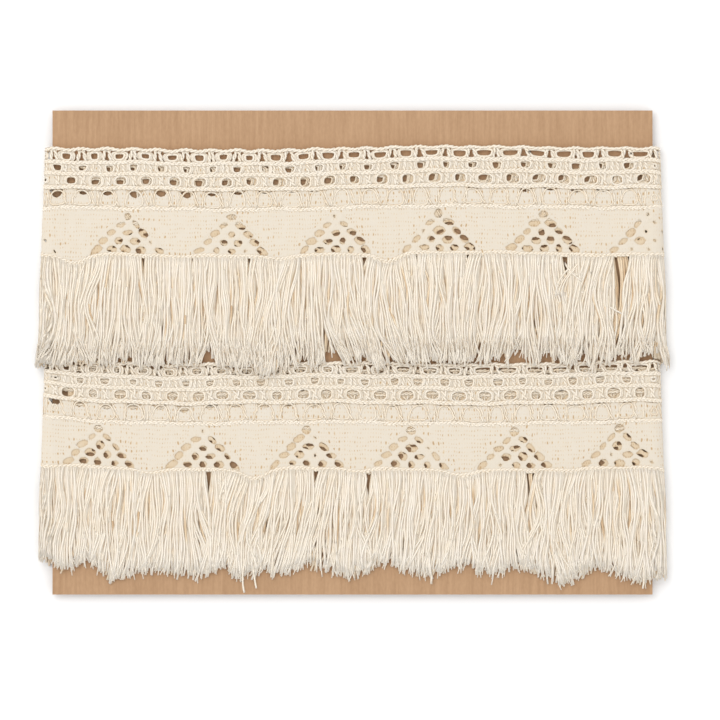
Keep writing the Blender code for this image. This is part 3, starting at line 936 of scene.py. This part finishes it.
def cloth_underneath(row):
    """The cloth of the lace once more, coarser, and darker by painted shade."""
    ends = row[:2]
    lace = dense_band(*ends, step=2.0, rows=6) + bell_cloth(*ends, rows=3)
    lace += row_cloth(*ends, stations=8, rows=2) + lattice(*ends, stations=8, rows=4)
    return [(slipped(face, *row), thickness * UNDER_DEPTH, tone - CLOTH_TONE, loose, joined)
            for face, thickness, tone, loose, joined in lace]


inner_yarns = yarn_mesh("yarns_underneath", sum(map(yarns_underneath, UNDER_ROWS), []),
                        lace_cotton, flatness=0.35)
inner_cloth = cloth_mesh("cloth_underneath", sum(map(cloth_underneath, UNDER_ROWS), []),
                         net_cotton)

# The fringe: cut cotton yarns that hang from the foot braid in wide locks, parted at the root
# and fallen into tufts. Their cut ends open into loose plies.
cut_cotton = cotton_finish("cut_cotton", ply_bump=0.10, shade=0.58, split=0.45, light=1.07)
end_cotton = cotton_finish("loose_plies", ply_bump=0.0, shade=0.30, split=0.0, light=1.05)
ROOT_V = FOOT_V + 0.3
# Radius of a yarn, and from one yarn's root to the next one's
STRAND = 0.63
STRAND_PITCH = 0.80
STATIONS = 13
TUFT_WIDTHS = (2.4, 5.5)
MOST_BUNDLES = 99
# How far bundles bow, tufts sway, yarns waver and loosely laid yarns swing to the side
BUNDLE_BOW, SWAY, WAVER, CROSSING = 1.8, 1.6, 0.42, 7.0
# An open root that is wider than this has loosely laid yarns in its middle
WIDE_GAP = 4.0
# Share of the way to its tuft's middle that a yarn is drawn
DRAWN_IN = 0.21
# How far out the fringe swells, and rises over the lower row on a last stretch
SWELL, OVER_ROW, RISE_LENGTH = 0.9, 2.3, 9.0
# Tone of the outer layer; painted shade by which inner layers fall below it; tone of the plies;
# painted shade in a tuft's hollows
OUTER_TONE, INNER_SHADE, PLY_TONE, TUFT_SHADE = 0.95, 0.62, 0.85, 0.85
PLY_RADII = 0.28 * np.array([1.2, 1.1, 1.0, 0.8])
# Length of the plies, and how far they hang past the yarns' tips
PLY_LENGTH, PLIES_PAST = 9.0, 2.5
# Most that a yarn's middle stands out behind the card, and how much more in front
BACK_LIMIT, FRONT_MORE = 1.75, 5.0
# Where the tips end, by the place across the card: height on it, or depth below the row's edge
LOWER_TIPS_X = np.array([-160, -152, -145, -131, -121, -105, -92, -78, -64, -58, -45, -34, -23,
                         -10, -2, 7, 19, 26, 41, 55, 69, 79, 86, 99, 106, 111, 121, 137, 144, 152])
LOWER_TIPS_Y = np.array([-103, -104, -110, -105, -115, -110, -111, -113, -108, -115, -110, -112,
                         -106, -112, -114, -110, -107, -110, -113, -107, -113, -109, -109, -115,
                         -118, -114, -110, -113, -117, -113])
UPPER_TIPS_V = 107.4
# Bays in the upper row's tips: place across the card, half width, height; below nought a tongue
TIP_BAYS = np.array([
    (-111, 1.2, 4.0), (-73, 3.2, 5.5), (-43, 6.0, -4.5), (-24, 2.0, 4.0), (-12, 1.6, 4.0),
    (-8, 3.0, 5.5), (6, 1.4, 4.5), (16, 4.0, -3.0), (75, 1.6, 4.5), (83, 4.5, 5.0), (96, 2.4, 4.5),
    (102, 1.4, 4.0), (115, 1.6, 5.0), (122, 1.6, 4.5), (134, 4.8, 4.5), (147, 3.6, 4.0),
])
# The fringe's bundles, left to right: first and last root, first and last tip, as places across
# the card in mm. Where one bundle's last root is short of the next one's first, the root is open.
UPPER_BUNDLES = np.array([
    (-153, -146, -156, -150), (-146, -134, -150, -141), (-134, -126, -141, -130),
    (-126, -119, -131, -123), (-119, -113, -124, -116), (-113, -106, -113, -103),
    (-103, -97, -106, -99), (-96, -87, -100, -89), (-87, -81, -89, -81), (-79, -72, -81, -74),
    (-72, -60, -71, -57), (-60, -53, -57, -52), (-50, -44, -53, -48), (-44, -35, -49, -38),
    (-35, -26, -39, -26), (-25, -16, -25, -16), (-15, -1, -10, 7), (0, 4, 7, 12),
    (8, 20, 12, 29), (20, 31, 28, 36), (33, 40, 36, 45), (40, 51, 44, 53), (52, 56, 52, 57),
    (59, 65, 55, 62), (66, 78, 63, 76), (79, 89, 75, 87), (89, 104, 88, 112),
    (108, 116, 103, 111), (116, 130, 109, 130), (139, 152, 133, 155),
])
LOWER_BUNDLES = np.array([
    (-153, -139, -157, -141), (-139, -124, -138, -127), (-123, -117, -128, -122),
    (-117, -106, -122, -111), (-106, -100, -111, -102), (-99, -91, -103, -93),
    (-91, -74, -93, -70), (-70, -64, -73, -68), (-63, -53, -69, -58), (-53, -45, -60, -53),
    (-44, -34, -54, -43), (-34, -20, -44, -27), (-16, -7, -28, -10), (-7, 6, -11, 5),
    (10, 21, 5, 18), (21, 34, 17, 30), (35, 39, 28, 33), (39, 48, 33, 44), (49, 66, 44, 64),
    (67, 72, 65, 73), (73, 86, 73, 87), (92, 104, 88, 105), (104, 117, 104, 116),
    (118, 131, 116, 130), (132, 144, 131, 144), (144, 152, 144, 155),
])


def parted(places, local):
    """Number, middle and half width of the tuft that holds each place.

    The tufts follow each other from the first place on, each of a random width.
    """
    widths = local.uniform(*TUFT_WIDTHS, int(np.ptp(places) / TUFT_WIDTHS[0]) + 3)
    edges = places.min() - 0.1 + np.concatenate([[0.0], np.cumsum(widths)])
    number = np.searchsorted(edges, places) - 1
    middle = (edges[number] + edges[number + 1]) / 2
    return number, middle[:, None], (widths[number] / 2)[:, None]


def bundled(roots, bundles, start):
    """Root and tip of each yarn in its bundle, as distances, and the bundle's number.

    A root between two bundles moves to the nearer one. Tips are spread as evenly as roots.
    """
    first, last, tip_first, tip_last = bundles.T + start + HALF_CARD
    number = np.searchsorted((last[:-1] + first[1:]) / 2, roots)
    low = np.where(number == 0, -np.inf, first[number])
    high = np.where(number == len(bundles) - 1, np.inf, last[number])
    root = np.clip(roots, low, high)
    share = (root - first[number]) / (last[number] - first[number])
    return root, tip_first[number] + share * (tip_last - tip_first)[number], number


def loosely(roots, bundles, start):
    """The same without bundles: each yarn's lean is that of the bundles about it.

    It also swings to either side along the row, by a sine. The open roots between bundles stay
    open, but for the middle of a wide one.
    """
    first, last, tip_first, tip_last = bundles.T + start + HALF_CARD
    lean = np.interp(roots, (first + last) / 2, (tip_first + tip_last - first - last) / 2)
    moved = bundled(roots, bundles, start)[0]
    root = np.where(abs(moved - roots) < WIDE_GAP / 2, moved, roots)
    return root, root + lean + CROSSING * np.sin(4 * np.pi * roots / REPEAT), 0


def swelling(share):
    """How far the fringe swells out: half a sine wave of a share of the way, begun a bit in."""
    return SWELL * np.sin(np.pi * np.clip(share + 0.15, 0, 1))


def hanging(roots, depth, bundle, loose, tips_at, local):
    """Paths of cut yarns, and how deep in a hollow of its tuft each point lies, in shares.

    share runs from nothing at the root to one at the tip. Along the strip a yarn goes from its
    root to its tip in the bundle by a power of share, bows with its bundle by half a sine, is
    drawn to the middle of its tuft by a cosine, and sways with its tuft and by itself. Looser
    yarns follow their tuft more. Down the strip it goes to the line of the tips. Out of the card
    it follows its depth, with a swell, and rises over the row below. The hollow, a mask for painted
    shade, is deepest between two tufts.
    """
    share = np.linspace(0, 1, STATIONS) ** 1.1
    root, tip, number = bundle
    tuft, tuft_middle, tuft_half = parted(roots, local)
    power, bow = (np.reshape(values[number], (-1, 1)) for values in (
        local.uniform(1.0, 2.2, MOST_BUNDLES), local.normal(0, BUNDLE_BOW, MOST_BUNDLES)))
    phase, sway_phase = local.uniform(0, 2 * np.pi, (2, len(roots), 1))[:, tuft]
    own = local.uniform(0, 2 * np.pi, (len(roots), 1))
    s = root[:, None] + (tip - root)[:, None] * share ** power + bow * np.sin(np.pi * share)
    inward = 1 + np.cos(3.5 * np.pi * share + phase)
    inward = DRAWN_IN * inward * np.sin(np.pi * share) ** 0.5
    s = s + (tuft_middle - roots[:, None]) * inward * loose
    sway = local.normal(0, SWAY * loose, len(roots))[tuft][:, None]
    s = s + sway * np.sin(2.2 * np.pi * share + sway_phase) * share ** 0.5
    s = s + WAVER * np.sin(np.pi * share) * np.sin(3.6 * np.pi * share + own)
    for spread, rate in ((0.5 + 0.6 * loose, 1.5), (0.9, 6)):
        s = s + local.normal(0, spread, (len(roots), 1)) * share ** rate
    root_v = ROOT_V + sag(s[:, :1], ROOT_V)
    length = tips_at(s[:, -1:]) - root_v + local.normal(0, 1.2, (len(roots), 1))
    length = length + local.normal(0, 0.9, len(roots))[tuft][:, None]
    v = root_v + length * share
    offset = (roots[:, None] - tuft_middle) / tuft_half
    crown = 0.12 * loose * (1 - offset ** 2) * np.sin(np.pi * share)
    over_row = np.clip((v - ROW_PITCH + RISE_LENGTH) / RISE_LENGTH, 0, 1)
    over_row = OVER_ROW * over_row * (s < STARTS[5])
    w = depth[:, None] + (crown + swelling(share * 1.3) + over_row) * front_share(s)
    w = np.minimum(w, BACK_LIMIT + FRONT_MORE * front_share(s))
    hollow = np.sin(np.pi * np.clip(2.2 * share - 0.8 * local.uniform(0, 1, offset.shape), 0, 1))
    return np.stack([s, v, w], axis=-1), hollow * offset ** 6


def frayed(paths, local):
    """Plies that part from each yarn near its cut end and reach past it.

    They go along the yarn's last steps and part by the square of the share, by a normal spread.
    """
    tips = np.repeat(paths[:, -1], PLIES, axis=0)
    ahead = np.repeat(paths[:, -1] - paths[:, -3], PLIES, axis=0) * (1.0, 1.0, 0.0)
    ahead = ahead / np.linalg.norm(ahead, axis=1, keepdims=True)
    aside = local.normal(0, 1.0, ahead.shape) * (0.80, 0.35, 0.10)
    start = local.uniform(-0.3, 0.3, (len(tips), 1))
    back = local.uniform(0.35, 0.85, (len(tips), 1, 1)) * PLY_LENGTH
    reach = local.uniform(-0.1, 0.35, (len(tips), 1)) * PLY_LENGTH
    share = np.linspace(0, 1, len(PLY_RADII))[None, :, None]
    along = -back + (reach[:, None] + back) * share
    plies = tips[:, None] + ahead[:, None] * along + aside[:, None] * share ** 2
    plies[..., 0] += start
    plies[..., 2] = np.clip(plies[..., 2], 0.35, 0.1 + tips[:, None, 2])
    return plies


def fringe(low, high, layers, bundles, start_at, tips_at, seed):
    """Yarns in layers between two distances, each with its own jitter, and the last one's plies.

    A layer is its depth, whether it lies in bundles, and how loose it is. Inner layers are
    darker, and so are yarns in a tuft's hollows, both by painted shade. A yarn thins and is lighter
    towards its cut end.
    """
    local = np.random.default_rng(seed)
    yarns = []
    share = np.linspace(0, 1, STATIONS)
    for number, (depth, placed, loose) in enumerate(layers):
        start = low + STRAND_PITCH * (0.3 + number / len(layers))
        roots = np.arange(start, high - 0.3, STRAND_PITCH)
        roots = np.sort(roots + local.uniform(-0.3, 0.3, len(roots)))
        depth = depth + local.uniform(-0.05, 0.05, len(roots))
        bundle = placed(roots, bundles, start_at)
        paths, hollow = hanging(roots, depth, bundle, loose, tips_at, local)
        thin = STRAND * local.uniform(0.85, 1.12, (len(roots), 1))
        taper = np.interp(share, [0, 0.82, 1], [1, 0.95, 0.7])
        # Painted shade: the inner layers are darker in tone.
        tone = toned(OUTER_TONE - INNER_SHADE / (1 + 2 * number), roots, local) + 0.3 * share ** 8
        # Painted shade: yarns in a tuft's hollows are darker.
        yarns.append((paths, thin * taper, tone - TUFT_SHADE * hollow))
    plies = frayed(paths, local)
    return yarns, [(plies, PLY_RADII, toned(PLY_TONE, plies, local))]


def lower_tips(s):
    """v of the lower row's tips: from the row's edge down to the measured line, less the plies."""
    return edge_y(s) - np.interp(world_x(s), LOWER_TIPS_X, LOWER_TIPS_Y) - PLIES_PAST


def upper_tips(s):
    """v of the upper row's tips: a level line with bays and tongues, each a bell curve."""
    x = world_x(s)[..., None]
    bays = TIP_BAYS[:, 2] * np.exp(-((x - TIP_BAYS[:, 0]) / TIP_BAYS[:, 1]) ** 4)
    return UPPER_TIPS_V - bays.sum(-1) * front_share(s)


def back_tips(s):
    """v of the tips behind the card, with a slow wave."""
    return 104.0 + 1.0 * np.sin(s / 9.0)


# Yarns that lie across the others: how many side by side, and places on the card from end to end
UPPER_STRAYS = [
    (3, [(116, 48), (110, 42), (105, 36), (103, 29)]), (1, [(104, 35), (118, 28), (136, 18)]),
    (2, [(105, 47), (109, 41), (115, 36)]),
]
LOWER_STRAYS = [
    (1, [(-54, -104), (-55, -113), (-54, -120)]), (1, [(-50, -106), (-49, -113), (-48, -119)]),
    (1, [(145, -104), (145, -111), (145, -117)]),
]
STRAY = STRAND * 0.75
STRAY_W = 1.45
STRAY_PITCH = 0.85
STRAY_STATIONS = 12
STRAY_TONE = 0.84


def strays(courses, start, seed):
    """Yarns through given points, side by side and loosely, by a cubic along each.

    The cubic is fitted by least squares to the points, evenly in its own parameter. A yarn is
    set off from it across its way by its number, more towards the end, and by half a sine. It
    comes out of the fringe by half a sine wave and stays on its swell.
    """
    local = np.random.default_rng(seed)
    share = np.linspace(0, 1, STRAY_STATIONS)
    made = []
    for count, points in courses:
        knots, degree = np.linspace(0, 1, len(points)), min(3, len(points) - 1)
        curve = np.polyfit(knots, np.array(points, float), degree)
        begin = local.uniform(0, 0.25 * (count > 1), (count, 1))
        at = begin + (1 - begin) * share
        x, y = (np.polyval(curve[:, i], at) for i in (0, 1))
        way = np.array([np.polyval(np.polyder(curve[:, i]), at) for i in (0, 1)])
        way /= np.linalg.norm(way, axis=0)
        aside = (np.arange(count) - (count - 1) / 2)[:, None] * STRAY_PITCH
        aside = aside * (0.6 + 1.0 * at) + local.normal(0, 0.5, (count, 1)) * np.sin(np.pi * at)
        s = x - aside * way[1] + start + HALF_CARD
        v = edge_y(s) - y - aside * way[0] + local.normal(0, 1.0, (count, 1)) * at ** 4
        w = STRAY_W + swelling((v - ROOT_V) / 40)
        w = w * np.sin(np.pi * np.clip(share * 2.0, 0, 0.5)) ** 0.7
        w = w + local.uniform(-0.15, 0.10, (count, 1))
        tone = toned(STRAY_TONE, w, local) + 0.2 * share ** 6
        made.append((np.stack([s, v, w], axis=-1), STRAY, tone))
    return made


BACK_LEAN = np.array([(-150, -140, -150, -140), (-10, 10, -5, 15), (140, 150, 140, 150)])
# Layers from the card outwards: depth, whether in bundles, how loose
FRONT_LAYERS = ((0.90, loosely, 0.0), (1.02, bundled, 0.4), (1.14, bundled, 0.8),
                (1.25, bundled, 1.1))
BACK_LAYERS = ((0.95, loosely, 0.3), (1.50, loosely, 1.0))
upper_yarns, upper_plies = fringe(
    STARTS[1], STARTS[4], FRONT_LAYERS, UPPER_BUNDLES, UPPER_START, upper_tips, seed=11)
lower_yarns, lower_plies = fringe(
    STARTS[5], STARTS[8], FRONT_LAYERS, LOWER_BUNDLES, LOWER_START, lower_tips, seed=21)
back_yarns, back_plies = [], []
for seed, low, high in ((31, END, STARTS[1]), (32, STARTS[4], STARTS[5]), (33, STARTS[8], ENDS[1])):
    yarns, plies = fringe(low, high, BACK_LAYERS, BACK_LEAN, SLANT_START, back_tips, seed)
    back_yarns += yarns
    back_plies += plies
upper_yarns += strays(UPPER_STRAYS, UPPER_START, seed=31)
lower_yarns += strays(LOWER_STRAYS, LOWER_START, seed=41)
upper = yarn_mesh("upper_fringe", upper_yarns, cut_cotton, flatness=0.42)
lower = yarn_mesh("lower_fringe", lower_yarns, cut_cotton, flatness=0.42)
behind = yarn_mesh("back_fringe", back_yarns, cut_cotton, flatness=0.5)
plies = upper_plies + lower_plies + back_plies
ends = yarn_mesh("loose_plies", plies, end_cotton, flatness=0.5)
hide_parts("fringe")

# The photograph's surroundings: a white table top, one large soft light from the upper left, and
# a camera straight above the card.
TABLE_WHITE = (0.93, 0.93, 0.93, 1.0)
TABLE_HALF, TABLE_Z = 2.5, -0.0002
KEY_PLACE, KEY_SIZE, KEY_POWER = (-0.8, 0.9, 1.9), 1.4, 14.0
SKY_WHITE, SKY_STRENGTH = (1.0, 1.0, 1.0, 1.0), 1.01
FRAME_WIDTH = 0.360
CAMERA_X, CAMERA_Y = 0.00375, -0.00375
CAMERA_HEIGHT = 2.0


def table_top():
    """A wide flat sheet just below the trim."""
    mesh = bpy.data.meshes.new("table_top")
    corners = np.array([(-1, -1), (1, -1), (1, 1), (-1, 1)]) * TABLE_HALF
    mesh.from_pydata([(x, y, TABLE_Z) for x, y in corners], [], [(0, 1, 2, 3)])
    finish, shader = new_finish("white_table", 0.8)
    shader.inputs["Base Color"].default_value = TABLE_WHITE
    mesh.materials.append(finish)
    piece = add_object("table_top", mesh)
    piece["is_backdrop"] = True


def key_light():
    """A square light that faces the middle of the card."""
    light = bpy.data.lights.new("key_light", "AREA")
    light.size = KEY_SIZE
    light.energy = KEY_POWER
    lamp = add_object("key_light", light)
    lamp.location = KEY_PLACE
    away = -lamp.location.normalized()
    lamp.rotation_euler = away.to_track_quat("-Z", "Y").to_euler()


def sky():
    """Even white light from all sides."""
    world = bpy.data.worlds.new("studio")
    world.use_nodes = True
    background = world.node_tree.nodes["Background"]
    background.inputs["Color"].default_value = SKY_WHITE
    background.inputs["Strength"].default_value = SKY_STRENGTH
    bpy.context.scene.world = world


table_top()
key_light()
sky()
bpy.context.scene.view_settings.view_transform = "Standard"
camera = add_object("camera", bpy.data.cameras.new("camera"))
camera.data.sensor_width = 36.0
camera.data.lens = camera.data.sensor_width * CAMERA_HEIGHT / FRAME_WIDTH
camera.data.clip_end = 20.0
camera.location = (CAMERA_X, CAMERA_Y, CAMERA_HEIGHT + (FRONT_Z - CARD_GAP) * MM)
bpy.context.scene.camera = camera

low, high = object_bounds()
